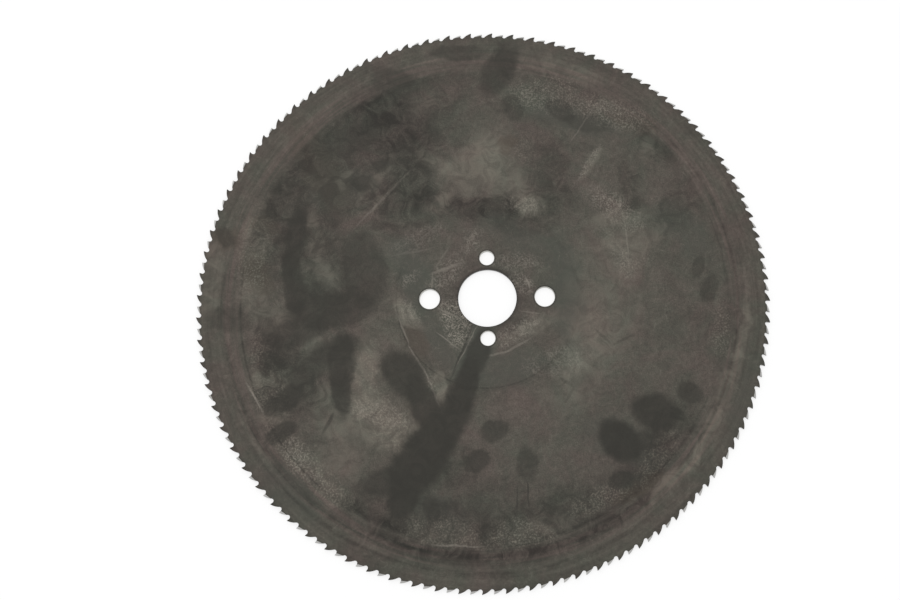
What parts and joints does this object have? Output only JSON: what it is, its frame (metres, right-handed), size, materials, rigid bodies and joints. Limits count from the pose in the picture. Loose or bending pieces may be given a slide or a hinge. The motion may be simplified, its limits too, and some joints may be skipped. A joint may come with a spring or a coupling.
{
  "type": "circular metal-cutting saw blade",
  "caption": "Flat circular cold-saw blade of solid tool steel, with hooked bow teeth bevelled in turn on each side, a centre bore, drive-pin holes and hollow-ground sides.",
  "frame": {"origin": "on the bore's axis, in the plane of the underside that the blade lies on", "axes": "+Z along the bore's axis, out of the face that the picture shows; +X through a large pin hole and +Y through a small one; the teeth point clockwise seen from +Z"},
  "size_m": [0.3134, 0.3134, 0.0025],
  "materials": {
    "ground_tool_steel": "dark ground high-speed steel with oil smudges, worn and stained, and bright ground tooth bevels"
  },
  "bodies": {
    "root": {"saw_blade": "ground_tool_steel"}
  },
  "joints": []
}
